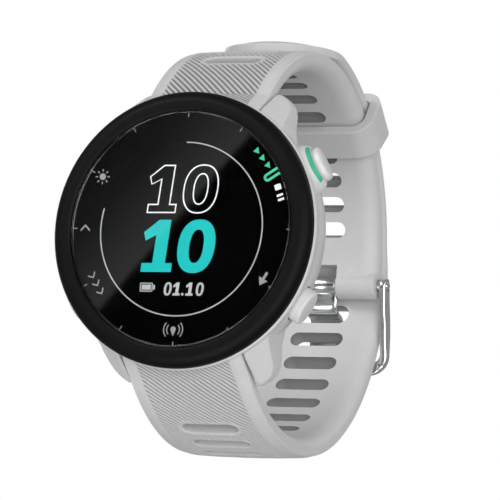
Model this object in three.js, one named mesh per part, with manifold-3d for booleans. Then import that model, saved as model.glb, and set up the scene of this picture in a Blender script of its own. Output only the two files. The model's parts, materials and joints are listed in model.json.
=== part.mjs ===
import * as THREE from 'three';
import { mergeVertices } from 'three/addons/utils/BufferGeometryUtils.js';
import Module from 'manifold-3d';

// A round GPS running watch, buckled into its wrist loop. Millimetres.
// +X points to three o'clock, -Y out of the dial and +Z to twelve o'clock.
// The origin is the middle of the sensor window, where the case back meets the wrist.

const wasm = await Module();
wasm.setup();

// ---------------------------------------------------------------- driving dimensions

const GAP = 0.15;
const CASE_ROUND = 60;
const ROUND = 40;
const FINE = 20;
const SMALL = 10;
const SEAL_SIDES = 6;
const STRAP_STEPS = { short: 26, long: 44 };

const DIAL_FRONT = -11.6;
const CASE = {
  lipR: 21, wallR: 20.7, cavityR: 16.9, openingR: 14,
  front: -9.3, lipBack: -8.5, ledge: -3.3, seat: -2.1, back: -1,
};
const BEZEL = { outerR: 20.8, boreR: 17.8, seatR: 19.1, back: -9.45, ledge: -10.35 };
const LENS = { r: 17.6, front: -11.35, back: -10.55 };
const DISPLAY = { r: 13, flangeR: 15.4, front: -10.4, flangeFront: -9.9, back: -9 };
const DIAL_RING = { innerR: 13.2, front: -10.4, back: -10.1 };
const INNER_FRAME = { r: 16.6, rimR: 16, windowR: 9, front: -8.85, back: -8.25, rimBack: -7.4 };
const BOARD = { r: 15.8, front: -8.05, back: -7.25 };
const CELL_FRONT = -6.95;
const BATTERY = { halfWidth: 9.5, bottom: -5.5, top: 11.5, corner: 1.5, back: -3.75 };
const COIN = { r: 3.9, x: 5, z: -10.3, back: -4.1 };
const ANTENNA = { outerR: 16.6, innerR: 16.15, from: 50, to: 130, back: -3.5 };
const COVER = { r: 16.75, front: -2, rim: -0.9, islandR: 12.6, island: -0.5, holeR: 8.45 };
const SPIGOT = { innerR: 12.5, outerR: 13.15, front: -2.9 };
const BACK_SEAL = { r: 13.55, section: 0.33, y: -2.5 };
const FRONT_SEAL = { r: 19.4, section: 0.33, grooveInnerR: 18.9, grooveOuterR: 19.9, groove: 0.85 };
const WINDOW = { r: 8.2, faceR: 7.8, shoulder: -0.5, front: -1.95 };
const SENSOR_BOARD = { r: 7.4, front: -3.5, back: -2.9, chip: 2, chipBack: -2.4 };
const SCREW = { circleR: 15.3, headR: 1, shankR: 0.4, headFront: -1.35, headBack: -0.95, end: -3.1 };
const SOCKET = { left: -11.7, right: -9.3, halfLength: 3.3, front: -3.6, back: -0.55, floor: -1.8 };
const CONTACT = { r: 0.3, holeR: 0.5, pitch: 1.5, front: -3.9, back: -1.1 };

const BUTTON = {
  y: -5.85, halfLength: 2.7, halfHeight: 1.8, baseR: 19.45, pocketR: 18.6,
  stemR: 0.6, stemHoleR: 0.8, stemEnd: 16.75, slit: 0.2,
};
const BUTTONS = [
  { name: 'start', angle: 28, faceR: 23.15 },
  { name: 'back', angle: -30, faceR: 22.2 },
  { name: 'light', angle: 150, faceR: 21.9 },
  { name: 'up', angle: 180, faceR: 21.9 },
  { name: 'down', angle: 210, faceR: 21.9 },
];
const SWITCH = { innerR: 14.3, outerR: 15.9, halfWidth: 1.6, front: -6.9, back: -4.9 };
const ACCENT = {
  a: 3.15, b: 2.35, width: 0.55, gap: 0.1, innerR: 21.1, outerR: 24, proud: 0.06, from: 214, to: 330,
};

// The swell of the case wall on the dial side of the start button: [half height, distance out] from its foot
// to its crown.
const POD = { stretch: 1.3, profile: [[3.2, 19.5], [3.05, 20.9], [2.78, 21.7], [2.3, 22.2]] };

const LUG_GAP = 10.15;
const NOTCH_Z = 17.6;
const BAR = { y: -2.45, z: 19.6, tubeR: 0.75, boreR: 0.95, tipR: 0.45, tipHoleR: 0.6 };
const BAR_END = 9.65;
const TIP_END = 10.9;
const TIP_HOLE_END = 11.4;
const LEVER = { from: 4.3, to: 5.5, travel: 1.3, rodR: 0.35, rodBoreR: 0.5, rodFrom: 4.1 };

// Both straps run round one centre, C, so that one slides on the other and the keeper slides on both.
const C = { y: 18.84, z: 2.99 };
const STRAP_HALF = 9.8;
const SHORT = { outerR: 29.1, innerR: 26.1, from: -4, to: 141, innerTo: 138 };
const LONG = { tipAngle: 75.4, tipLength: 12, from: -133, innerFrom: -124, thin: 1.85, thick: 2.9 };
const SLOT = { length: 9, height: 2.5 };
const LONG_SLOTS = { first: -113.45, pitch: 9.05, count: 22 };
const TONGUE_SLOT = { angle: -13.9, height: 3.2 };
const REAR_SLOTS = { first: 13.25, pitch: 9.05, count: 5 };
const TOP_SLOTS = { first: 58.3, pitch: 10.2, count: 7 };
const KEEPER = { angle: 48.5, halfAngle: 6.2, halfWidth: 12, holeHalf: 10.2, r: [24, 25.75, 31.6, 33.3] };

const PIN = { y: 46.75, z: 0.3, r: 0.75, boreR: 0.95, end: 11.35 };
const KNUCKLE = { r: 2.2, halfGap: 3.2 };
const FRAME = { inner: 10.15, outer: 11.5, eyeR: 1.35, reach: 14.4, barWidth: 1.9, corner: 3.2 };
const TONGUE = { half: 2.8, ringR: 1.45 };

// ---------------------------------------------------------------- solids and placing

const WELD = 1e-4;
const rad = THREE.MathUtils.degToRad;

function volumeOf(points, triangles) {
  const corner = (index) => new THREE.Vector3().fromArray(points, 3 * index);
  let sum = 0;
  for (let i = 0; i < triangles.length; i += 3) {
    const [a, b, c] = [corner(triangles[i]), corner(triangles[i + 1]), corner(triangles[i + 2])];
    sum += a.dot(b.cross(c));
  }
  return sum / 6;
}

// Turns any closed geometry into a solid whose faces point out.
function solid(geometry, matrix = new THREE.Matrix4()) {
  const bare = geometry.clone().applyMatrix4(matrix);
  bare.deleteAttribute('normal');
  bare.deleteAttribute('uv');
  const merged = mergeVertices(bare, WELD);
  const vertProperties = Float32Array.from(merged.attributes.position.array);
  const kept = [];
  for (let i = 0; i < merged.index.count; i += 3) {
    const [a, b, c] = merged.index.array.slice(i, i + 3);
    if (a !== b && b !== c && c !== a) kept.push(a, b, c);
  }
  if (volumeOf(vertProperties, kept) < 0) kept.reverse();
  const triVerts = Uint32Array.from(kept);
  return new wasm.Manifold(new wasm.Mesh({ numProp: 3, vertProperties, triVerts }));
}

function geometryOf(manifold) {
  const mesh = manifold.getMesh();
  const geometry = new THREE.BufferGeometry();
  geometry.setAttribute('position', new THREE.BufferAttribute(mesh.vertProperties, 3));
  geometry.setIndex(new THREE.BufferAttribute(mesh.triVerts, 1));
  geometry.computeVertexNormals();
  return geometry;
}

const cut = (body, ...tools) => tools.reduce((rest, tool) => rest.subtract(tool), body);
const join = (first, ...others) => others.reduce((sum, other) => sum.add(other), first);

// A profile of [radius, y] points turned about the Y axis. A ring's profile closes on itself.
function turned(profile, segments = ROUND) {
  const points = profile.map(([r, y]) => new THREE.Vector2(r, y));
  if (profile[0][0] > 0) points.push(points[0].clone());
  return solid(new THREE.LatheGeometry(points, segments));
}

const disc = (r, y0, y1, segments = ROUND) => turned([[0, y0], [r, y0], [r, y1], [0, y1]], segments);
const ring = (r0, r1, y0, y1, segments = ROUND) => (
  turned([[r0, y0], [r1, y0], [r1, y1], [r0, y1]], segments));

function sealRing(r, section, y) {
  const profile = [];
  for (let k = 0; k < SEAL_SIDES; k += 1) {
    const turn = rad((360 / SEAL_SIDES) * k);
    profile.push([r + section * Math.cos(turn), y + section * Math.sin(turn)]);
  }
  return turned(profile);
}

const move = (x, y, z) => new THREE.Matrix4().makeTranslation(x, y, z);

function box(x0, x1, y0, y1, z0, z1) {
  const geometry = new THREE.BoxGeometry(x1 - x0, y1 - y0, z1 - z0);
  return solid(geometry, move((x0 + x1) / 2, (y0 + y1) / 2, (z0 + z1) / 2));
}

function rodX(r, x0, x1, y, z, segments = SMALL) {
  const turn = new THREE.Matrix4().makeRotationZ(Math.PI / 2);
  const place = move((x0 + x1) / 2, y, z).multiply(turn);
  return solid(new THREE.CylinderGeometry(r, r, x1 - x0, segments), place);
}

const rodY = (r, y0, y1, x, z, segments = SMALL) => (
  solid(new THREE.CylinderGeometry(r, r, y1 - y0, segments), move(x, (y0 + y1) / 2, z)));

function extruded(shape, depth, curveSegments) {
  return new THREE.ExtrudeGeometry(shape, { depth, bevelEnabled: false, curveSegments });
}

const shapeOf = (points) => new THREE.Shape(points.map(([a, b]) => new THREE.Vector2(a, b)));

// A side outline in (y, z), extruded along X.
function acrossX(shape, x0, x1, curveSegments = 8) {
  const basis = new THREE.Matrix4().makeBasis(
    new THREE.Vector3(0, 1, 0), new THREE.Vector3(0, 0, 1), new THREE.Vector3(1, 0, 0));
  return solid(extruded(shape, x1 - x0, curveSegments), move(x0, 0, 0).multiply(basis));
}

// A front outline in (x, z), extruded along Y.
function acrossY(shape, y0, y1, curveSegments = 8) {
  const basis = new THREE.Matrix4().makeBasis(
    new THREE.Vector3(1, 0, 0), new THREE.Vector3(0, 0, 1), new THREE.Vector3(0, -1, 0));
  return solid(extruded(shape, y1 - y0, curveSegments), move(0, y1, 0).multiply(basis));
}

// An outline in (tangent, -y) on the case wall, extruded outwards at a clock angle.
function outOfCase(shape, degrees, r0, r1, y, curveSegments = 8) {
  const [c, s] = [Math.cos(rad(degrees)), Math.sin(rad(degrees))];
  const basis = new THREE.Matrix4().makeBasis(
    new THREE.Vector3(-s, 0, c), new THREE.Vector3(0, -1, 0), new THREE.Vector3(c, 0, s));
  return solid(extruded(shape, r1 - r0, curveSegments), move(r0 * c, y, r0 * s).multiply(basis));
}

const onLoop = (r, degrees) => [C.y + r * Math.cos(rad(degrees)), C.z + r * Math.sin(rad(degrees))];

// An outline in (x, tangent) on the strap loop, extruded outwards at a loop angle.
function outOfLoop(shape, degrees, r0, r1, curveSegments = 4) {
  const [c, s] = [Math.cos(rad(degrees)), Math.sin(rad(degrees))];
  const basis = new THREE.Matrix4().makeBasis(
    new THREE.Vector3(1, 0, 0), new THREE.Vector3(0, s, -c), new THREE.Vector3(0, c, s));
  const [y, z] = onLoop(r0, degrees);
  return solid(extruded(shape, r1 - r0, curveSegments), move(0, y, z).multiply(basis));
}

function stadium(length, height) {
  const half = length / 2 - height / 2;
  const shape = new THREE.Shape();
  shape.absarc(half, 0, height / 2, -Math.PI / 2, Math.PI / 2);
  shape.absarc(-half, 0, height / 2, Math.PI / 2, 1.5 * Math.PI);
  return shape;
}

function ellipse(a, b) {
  const shape = new THREE.Shape();
  shape.absellipse(0, 0, a, b, 0, 2 * Math.PI);
  return shape;
}

// ---------------------------------------------------------------- materials and the scene graph

function finish(color, roughness, metalness) {
  return new THREE.MeshStandardMaterial({ color, roughness, metalness });
}

const MATERIALS = {
  shell: () => finish(0xc3c5c4, 0.5, 0),
  silicone: () => finish(0xbfc1c0, 0.6, 0),
  bezel: () => finish(0x262627, 0.45, 0),
  glass: () => finish(0x08090a, 0.08, 0),
  dial: () => finish(0x0d0d0e, 0.5, 0),
  display: () => finish(0x050506, 0.35, 0),
  steel: () => finish(0xc9cbcd, 0.18, 1),
  darkPlastic: () => finish(0x2b2d30, 0.55, 0),
  board: () => finish(0x1c5a3a, 0.5, 0),
  foil: () => finish(0xb4b7ba, 0.4, 0.6),
  gold: () => finish(0xd2a84a, 0.3, 1),
  seal: () => finish(0x1b1b1c, 0.7, 0),
  window: () => finish(0x141518, 0.12, 0),
  accent: () => finish(0x27a07a, 0.5, 0),
};

const watch = new THREE.Group();

function add(name, body, material) {
  const mesh = new THREE.Mesh(geometryOf(body), MATERIALS[material]());
  mesh.name = name;
  watch.add(mesh);
}

// ---------------------------------------------------------------- case

// One lug horn: its plan seen from the front, met with its side outline and with a cone that falls away
// from the lip of the case.
function lug(sideX, sideZ) {
  const plan = [
    [9.9, 15.2], [9.9, 22.2], [11, 21.9], [12.3, 20.9], [13.2, 19.6], [13.6, 18], [13.9, 16.2], [14.6, 14.2],
    [13.5, 12.4],
  ];
  const fall = [[0, -9.5], [20.6, -9], [21.1, -7.9], [24.3, -2.1], [24.7, -1], [24.7, 1], [0, 1]];
  const side = [
    [-8.9, 12], [-8.5, 18], [-7.6, 18.5], [-2.1, 21.8], [-1.1, 22.1], [-0.4, 21.7], [-0.2, 20.6],
    [-0.7, 18.4], [-2.4, 15], [-3.6, 12],
  ];
  const planShape = shapeOf(plan.map(([x, z]) => [sideX * x, sideZ * z]));
  const sideShape = shapeOf(side.map(([y, z]) => [y, sideZ * z]));
  const reach = sideX > 0 ? [9, 18] : [-18, -9];
  const slab = acrossY(planShape, -10, 1).intersect(acrossX(sideShape, ...reach));
  return slab.intersect(turned(fall, CASE_ROUND));
}

function buttonPocket({ angle }) {
  const { halfLength, halfHeight, slit, y, pocketR, stemHoleR } = BUTTON;
  const mouth = outOfCase(ellipse(halfLength + slit, halfHeight + slit), angle, pocketR, 24, y);
  const stemHole = outOfCase(ellipse(stemHoleR, stemHoleR), angle, CASE.openingR, 20, y, 6);
  return join(mouth, stemHole);
}

function startPod(proud) {
  const { stretch, profile } = POD;
  const [c, s] = [Math.cos(rad(BUTTONS[0].angle)), Math.sin(rad(BUTTONS[0].angle))];
  const line = profile.map(([half, out]) => new THREE.Vector2(half + proud, out + proud));
  const foot = new THREE.Vector2(0, line[0].y);
  const crown = new THREE.Vector2(0, line[line.length - 1].y);
  const basis = new THREE.Matrix4().makeBasis(
    new THREE.Vector3(-s * stretch, 0, c * stretch), new THREE.Vector3(c, 0, s), new THREE.Vector3(0, -1, 0));
  const place = move(0, BUTTON.y, 0).multiply(basis);
  const swell = solid(new THREE.LatheGeometry([foot, ...line, crown], ROUND), place);
  return swell.intersect(box(10, 30, DIAL_FRONT, BUTTON.y, 0, 25));
}

// The outline of the arched inlay on the dial side of the start button, grown by a margin.
function accentShape(margin) {
  const shape = new THREE.Shape();
  const spread = margin * 12;
  const [from, to] = [rad(ACCENT.from - spread), rad(ACCENT.to + spread)];
  const [outerA, outerB] = [ACCENT.a + ACCENT.width + margin, ACCENT.b + ACCENT.width + margin];
  shape.absellipse(0, 0, outerA, outerB, -from, -to, true);
  shape.absellipse(0, 0, ACCENT.a - margin, ACCENT.b - margin, -to, -from, false);
  return shape;
}

function screwHoles(r, y0, y1) {
  return [45, 135, 225, 315].map((degrees) => {
    const [x, z] = [SCREW.circleR * Math.cos(rad(degrees)), SCREW.circleR * Math.sin(rad(degrees))];
    return rodY(r, y0, y1, x, z);
  });
}

function caseBody() {
  const shell = turned([
    [CASE.cavityR, CASE.front], [20.55, CASE.front], [CASE.lipR, -9], [CASE.lipR, -8.55],
    [CASE.wallR, -8.2], [CASE.wallR, -5.4], [20.2, -3.2], [18.9, -1.6], [17.5, CASE.back],
    [CASE.cavityR, CASE.back], [CASE.cavityR, CASE.seat], [CASE.openingR, CASE.seat],
    [CASE.openingR, CASE.ledge], [CASE.cavityR, CASE.ledge],
  ], CASE_ROUND);
  const lugs = [[1, 1], [-1, 1], [1, -1], [-1, -1]].map(([x, z]) => lug(x, z));
  const notches = [
    box(-LUG_GAP, LUG_GAP, CASE.lipBack, 1, NOTCH_Z, 24),
    box(-LUG_GAP, LUG_GAP, CASE.lipBack, 1, -24, -NOTCH_Z),
  ];
  const barHoles = [BAR.z, -BAR.z].map((z) => (
    rodX(BAR.tipHoleR, -TIP_HOLE_END, TIP_HOLE_END, BAR.y, z)));
  const start = BUTTONS[0];
  const inlay = outOfCase(accentShape(ACCENT.gap), start.angle, ACCENT.innerR - GAP, ACCENT.outerR, BUTTON.y);
  const { grooveInnerR, grooveOuterR, groove } = FRONT_SEAL;
  const sealGroove = ring(grooveInnerR, grooveOuterR, CASE.front - 0.3, CASE.front + groove);
  return cut(
    join(shell, startPod(0), ...lugs), ...notches, ...barHoles, ...BUTTONS.map(buttonPocket), inlay, sealGroove,
    ...screwHoles(SCREW.shankR + GAP, -4, 0));
}

function bezelRing() {
  return turned([
    [BEZEL.boreR, BEZEL.ledge], [BEZEL.boreR, LENS.front], [18.15, DIAL_FRONT], [19.5, DIAL_FRONT],
    [20.4, -11.1], [BEZEL.outerR, -10.4], [BEZEL.outerR, BEZEL.back], [BEZEL.seatR, BEZEL.back],
    [BEZEL.seatR, BEZEL.ledge],
  ], CASE_ROUND);
}

function displayPanel() {
  const { r, flangeR, front, flangeFront, back } = DISPLAY;
  return turned([[0, front], [r, front], [r, flangeFront], [flangeR, flangeFront], [flangeR, back], [0, back]]);
}

function addCase() {
  add('case_body', caseBody(), 'shell');
  add('bezel_ring', bezelRing(), 'bezel');
  add('lens', disc(LENS.r, LENS.front, LENS.back), 'glass');
  add('dial_ring', ring(DIAL_RING.innerR, LENS.r, DIAL_RING.front, DIAL_RING.back), 'dial');
  add('display_panel', displayPanel(), 'display');
  const sealY = CASE.front + FRONT_SEAL.groove / 2;
  add('bezel_gasket', sealRing(FRONT_SEAL.r, FRONT_SEAL.section, sealY), 'seal');
  const start = BUTTONS[0];
  const inlay = outOfCase(accentShape(0), start.angle, ACCENT.innerR, ACCENT.outerR, BUTTON.y);
  add('start_accent', inlay.intersect(startPod(ACCENT.proud)), 'accent');
}

// ---------------------------------------------------------------- inside the case

function innerFrame() {
  const { r, rimR, windowR, front, back, rimBack } = INNER_FRAME;
  return turned([[windowR, front], [r, front], [r, rimBack], [rimR, rimBack], [rimR, back], [windowR, back]]);
}

function mainBoard() {
  const chips = [[0, 0, 3.2], [6.4, 5, 2], [-6.4, 5, 2], [-6, -6, 1.6], [5.6, -7, 1.4]];
  const raised = chips.map(([x, z, half]) => (
    box(x - half, x + half, BOARD.back - 0.1, BOARD.back + GAP, z - half, z + half)));
  return join(disc(BOARD.r, BOARD.front, BOARD.back), ...raised);
}

function batteryCell() {
  const { halfWidth, bottom, top, corner, back } = BATTERY;
  const shape = new THREE.Shape();
  shape.absarc(halfWidth - corner, bottom + corner, corner, -Math.PI / 2, 0);
  shape.absarc(halfWidth - corner, top - corner, corner, 0, Math.PI / 2);
  shape.absarc(-halfWidth + corner, top - corner, corner, Math.PI / 2, Math.PI);
  shape.absarc(-halfWidth + corner, bottom + corner, corner, Math.PI, 1.5 * Math.PI);
  return acrossY(shape, CELL_FRONT, back, 4);
}

function gpsAntenna() {
  const { outerR, innerR, from, to, back } = ANTENNA;
  const shape = new THREE.Shape();
  shape.absarc(0, 0, outerR, rad(from), rad(to));
  shape.absarc(0, 0, innerR, rad(to), rad(from), true);
  return acrossY(shape, CELL_FRONT, back, 14);
}

function sensorBoard() {
  const { r, front, back, chip, chipBack } = SENSOR_BOARD;
  const lights = [90, 210, 330].map((degrees) => {
    const [x, z] = [4.4 * Math.cos(rad(degrees)), 4.4 * Math.sin(rad(degrees))];
    return box(x - 0.8, x + 0.8, back - 0.1, chipBack, z - 0.8, z + 0.8);
  });
  const receiver = box(-chip, chip, back - 0.1, chipBack, -chip, chip);
  return join(disc(r, front, back, FINE), receiver, ...lights);
}

function addInside() {
  add('inner_frame', innerFrame(), 'darkPlastic');
  add('main_board', mainBoard(), 'board');
  add('gps_antenna', gpsAntenna(), 'gold');
  add('battery', batteryCell(), 'foil');
  add('vibration_motor', rodY(COIN.r, CELL_FRONT, COIN.back, -COIN.x, COIN.z, FINE), 'steel');
  add('beeper', rodY(COIN.r, CELL_FRONT, COIN.back, COIN.x, COIN.z, FINE), 'gold');
  add('sensor_board', sensorBoard(), 'board');
}

// ---------------------------------------------------------------- case back

function backCover() {
  const { r, front, rim, islandR, island, holeR } = COVER;
  const plate = turned([
    [holeR, front], [SPIGOT.innerR, front], [SPIGOT.innerR, SPIGOT.front],
    [SPIGOT.outerR, SPIGOT.front], [SPIGOT.outerR, front], [r, front], [r, rim], [13.3, rim],
    [islandR, island], [holeR, island],
  ]);
  const { left, right, halfLength } = SOCKET;
  const socketHole = box(left - GAP, right + GAP, -3, 0, -halfLength - GAP, halfLength + GAP);
  const shankHoles = screwHoles(SCREW.shankR + GAP, -4, 0);
  const headPockets = screwHoles(SCREW.headR + GAP, SCREW.headFront - GAP, 0);
  return cut(plate, socketHole, ...shankHoles, ...headPockets);
}

function sensorWindow() {
  const { r, faceR, shoulder, front } = WINDOW;
  return turned([[0, front], [r, front], [r, shoulder], [faceR, 0], [0, 0]]);
}

const contactPlaces = [-1.5, -0.5, 0.5, 1.5].map((step) => step * CONTACT.pitch);
const socketX = (SOCKET.left + SOCKET.right) / 2;

function chargeSocket() {
  const { left, right, halfLength, front, back, floor } = SOCKET;
  const housing = box(left, right, front, back, -halfLength, halfLength);
  const well = box(left + 0.5, right - 0.5, floor, 0, 0.5 - halfLength, halfLength - 0.5);
  const holes = contactPlaces.map((z) => rodY(CONTACT.holeR, front - 1, 0, socketX, z));
  return cut(housing, well, ...holes);
}

function caseScrew(degrees) {
  const [x, z] = [SCREW.circleR * Math.cos(rad(degrees)), SCREW.circleR * Math.sin(rad(degrees))];
  const { headR, shankR, headFront, headBack, end } = SCREW;
  const head = rodY(headR, headFront, headBack, x, z);
  const shank = rodY(shankR, end, headFront + 0.1, x, z);
  const driveSlot = box(x - 0.7, x + 0.7, headBack - 0.15, 0, z - 0.12, z + 0.12);
  return cut(join(head, shank), driveSlot);
}

function addBack() {
  add('back_cover', backCover(), 'shell');
  add('back_gasket', sealRing(BACK_SEAL.r, BACK_SEAL.section, BACK_SEAL.y), 'seal');
  add('sensor_window', sensorWindow(), 'window');
  add('charge_socket', chargeSocket(), 'darkPlastic');
  contactPlaces.forEach((z, index) => {
    add(`charge_contact_${index + 1}`, rodY(CONTACT.r, CONTACT.front, CONTACT.back, socketX, z), 'gold');
  });
  [45, 135, 225, 315].forEach((degrees, index) => {
    add(`case_screw_${index + 1}`, caseScrew(degrees), 'steel');
  });
}

// ---------------------------------------------------------------- buttons

function button({ angle, faceR }) {
  const { halfLength, halfHeight, baseR, stemR, stemEnd, y } = BUTTON;
  const cap = outOfCase(ellipse(halfLength, halfHeight), angle, baseR, faceR - 0.3, y);
  const crown = outOfCase(ellipse(halfLength - 0.35, halfHeight - 0.3), angle, baseR, faceR, y);
  const stem = outOfCase(ellipse(stemR, stemR), angle, stemEnd, baseR + 0.3, y, 5);
  return join(cap, crown, stem);
}

function tactSwitch({ angle }) {
  const { innerR, outerR, halfWidth, front, back } = SWITCH;
  const middle = (front + back) / 2;
  const half = (back - front) / 2;
  const face = shapeOf([[-halfWidth, -half], [halfWidth, -half], [halfWidth, half], [-halfWidth, half]]);
  return outOfCase(face, angle, innerR, outerR, middle);
}

function addButtons() {
  BUTTONS.forEach((place) => {
    add(`button_${place.name}`, button(place), 'shell');
    add(`switch_${place.name}`, tactSwitch(place), 'darkPlastic');
  });
}

// ---------------------------------------------------------------- straps

const smooth = (from, to, value) => {
  const t = THREE.MathUtils.clamp((value - from) / (to - from), 0, 1);
  return t * t * (3 - 2 * t);
};

// The long strap lies on the short one, rises over the buckle knuckle and stays wide below it.
const longOuterR = (a) => 31.25 + 1.2 * smooth(9, -5, a) + 0.95 * smooth(-4, -125, a);
const longInnerR = (a) => longOuterR(a) - LONG.thin - (LONG.thick - LONG.thin) * smooth(-6, -24, a);

function arcPoints(radiusAt, from, to, steps) {
  const points = [];
  for (let k = 0; k <= steps; k += 1) {
    const a = from + ((to - from) * k) / steps;
    points.push(onLoop(radiusAt(a), a));
  }
  return points;
}

// The thick end round the spring bar, from the loop's inner line to its outer line.
function lugEnd(side) {
  const inner = side > 0 ? [[-0.55, 20.4], [-0.6, 18.6]] : [[0.2, 20.3], [-0.6, 18.5]];
  return [...inner, [-1.4, 17.95], [-7.95, 17.95], [-7.5, 18.45]].map(([y, z]) => [y, side * z]);
}

function slots(angles, height = SLOT.height) {
  return angles.map((a) => outOfLoop(stadium(SLOT.length, height), a, 24, 36));
}

const series = ({ first, pitch, count }) => Array.from({ length: count }, (_, k) => first + k * pitch);

// The bore for the spring bar and the window that its release lever slides in.
function barRoom(side) {
  const z = side * BAR.z;
  const bore = rodX(BAR.boreR, -LUG_GAP, LUG_GAP, BAR.y, z);
  const { from, to, travel } = LEVER;
  const window = box(from - travel - 0.4, to + 0.4, BAR.y, 1.5, z - 0.75, z + 0.75);
  return join(bore, window);
}

function shortStrap() {
  const { outerR, innerR, from, to, innerTo } = SHORT;
  const outline = [
    ...arcPoints(() => outerR, to, from, STRAP_STEPS.short),
    ...arcPoints(() => innerR, from, innerTo, STRAP_STEPS.short),
    ...lugEnd(1),
  ];
  const band = acrossX(shapeOf(outline), -STRAP_HALF, STRAP_HALF);
  const knuckle = rodX(KNUCKLE.r, -STRAP_HALF, STRAP_HALF, PIN.y, PIN.z, FINE);
  const tongueGap = box(-KNUCKLE.halfGap, KNUCKLE.halfGap, 43, 52, -3, 3.4);
  const pinBore = rodX(PIN.boreR, -12, 12, PIN.y, PIN.z, 16);
  const openings = slots([...series(REAR_SLOTS), ...series(TOP_SLOTS)]);
  return cut(join(band, knuckle), tongueGap, pinBore, barRoom(1), ...openings);
}

function longStrap() {
  const { from, innerFrom, tipAngle, tipLength } = LONG;
  const outline = [
    ...arcPoints(longOuterR, from, tipAngle, STRAP_STEPS.long),
    ...arcPoints(longInnerR, tipAngle, innerFrom, STRAP_STEPS.long),
    ...lugEnd(-1),
  ];
  const band = acrossX(shapeOf(outline), -STRAP_HALF, STRAP_HALF);
  const tipOutline = [
    ...arcPoints(longOuterR, tipAngle - 1, tipAngle + 24, 7),
    ...arcPoints(longInnerR, tipAngle + 24, tipAngle - 1, 7),
  ];
  const tipPlan = outOfLoop(ellipse(STRAP_HALF, tipLength), tipAngle, 24, 36, 10);
  const tip = acrossX(shapeOf(tipOutline), -STRAP_HALF, STRAP_HALF).intersect(tipPlan);
  const angles = series(LONG_SLOTS).filter((a) => Math.abs(a - TONGUE_SLOT.angle) > 2);
  const tongueSlot = slots([TONGUE_SLOT.angle], TONGUE_SLOT.height);
  return cut(join(band, tip), barRoom(-1), ...tongueSlot, ...slots(angles));
}

function keeperLoop() {
  const { angle, halfAngle, halfWidth, holeHalf, r } = KEEPER;
  const sector = (inner, outer, half) => shapeOf([
    ...arcPoints(() => outer, angle - half, angle + half, 6),
    ...arcPoints(() => inner, angle + half, angle - half, 6),
  ]);
  const outside = acrossX(sector(r[0], r[3], halfAngle), -halfWidth, halfWidth);
  const hole = acrossX(sector(r[1], r[2], halfAngle + 1), -holeHalf, holeHalf);
  return cut(outside, hole);
}

function addStraps() {
  add('short_strap', shortStrap(), 'silicone');
  add('long_strap', longStrap(), 'silicone');
  add('keeper_loop', keeperLoop(), 'silicone');
}

// ---------------------------------------------------------------- spring bars and buckle

function springBar(side) {
  const z = side * BAR.z;
  const tube = rodX(BAR.tubeR, -BAR_END, BAR_END, BAR.y, z);
  const fixedTip = rodX(BAR.tipR, -TIP_END, -BAR_END + 0.2, BAR.y, z);
  const { from, to, travel, rodFrom, rodBoreR } = LEVER;
  const rodBore = rodX(rodBoreR, rodFrom - travel - 0.3, BAR_END + 1, BAR.y, z);
  const leverSlit = box(from - travel - 0.3, to + 0.3, BAR.y, 1, z - 0.45, z + 0.45);
  return cut(join(tube, fixedTip), rodBore, leverSlit);
}

function releasePin(side) {
  const z = side * BAR.z;
  const { from, to, rodR, rodFrom } = LEVER;
  const rod = rodX(rodR, rodFrom, TIP_END, BAR.y, z);
  const post = box(from, to, BAR.y, 0.2, z - 0.3, z + 0.3);
  return join(rod, post);
}

// The direction from the pin to the middle of the end bar, and the one out of the loop.
const FRAME_ALONG = new THREE.Vector2(0.095, -0.9955);
const FRAME_OUT = new THREE.Vector2(0.9955, 0.095);

function fromPin([along, out]) {
  return [
    PIN.y + FRAME_ALONG.x * along + FRAME_OUT.x * out,
    PIN.z + FRAME_ALONG.y * along + FRAME_OUT.y * out,
  ];
}

// A steel loop: two arms that bow out beside the strap and an end bar across its outer face.
function buckleFrame() {
  const side = [
    [-0.9, 1], [2.6, 1.4], [5.4, 1.9], [8, 2.1], [10.5, 2], [12.5, 1.65], [14.4, 1.2], [14.4, -0.4],
    [12.4, 0.3], [11.5, 0.6], [10.4, 0.2], [8, -0.2], [2.6, -0.9], [-0.9, -1],
  ].map(fromPin);
  const arms = acrossX(shapeOf(side), -FRAME.outer, FRAME.outer);
  const eyes = rodX(FRAME.eyeR, -FRAME.outer, FRAME.outer, PIN.y, PIN.z, FINE);
  const basis = new THREE.Matrix4().makeBasis(
    new THREE.Vector3(1, 0, 0),
    new THREE.Vector3(0, -FRAME_ALONG.x, -FRAME_ALONG.y),
    new THREE.Vector3(0, FRAME_OUT.x, FRAME_OUT.y));
  const [y, z] = fromPin([0, -5]);
  const plan = (half, end, corner) => {
    const shape = new THREE.Shape();
    shape.moveTo(half, 4);
    shape.lineTo(-half, 4);
    shape.absarc(-half + corner, corner - end, corner, Math.PI, 1.5 * Math.PI);
    shape.absarc(half - corner, corner - end, corner, 1.5 * Math.PI, 2 * Math.PI);
    return solid(extruded(shape, 10, 6), move(0, y, z).multiply(basis));
  };
  const outer = plan(FRAME.outer, FRAME.reach, FRAME.corner);
  const window = plan(FRAME.inner, FRAME.reach - FRAME.barWidth, FRAME.corner - 1.2);
  const pinHole = rodX(PIN.r + 0.1, -12, 12, PIN.y, PIN.z, 16);
  return cut(join(arms, eyes).intersect(outer), window, pinHole);
}

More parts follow.
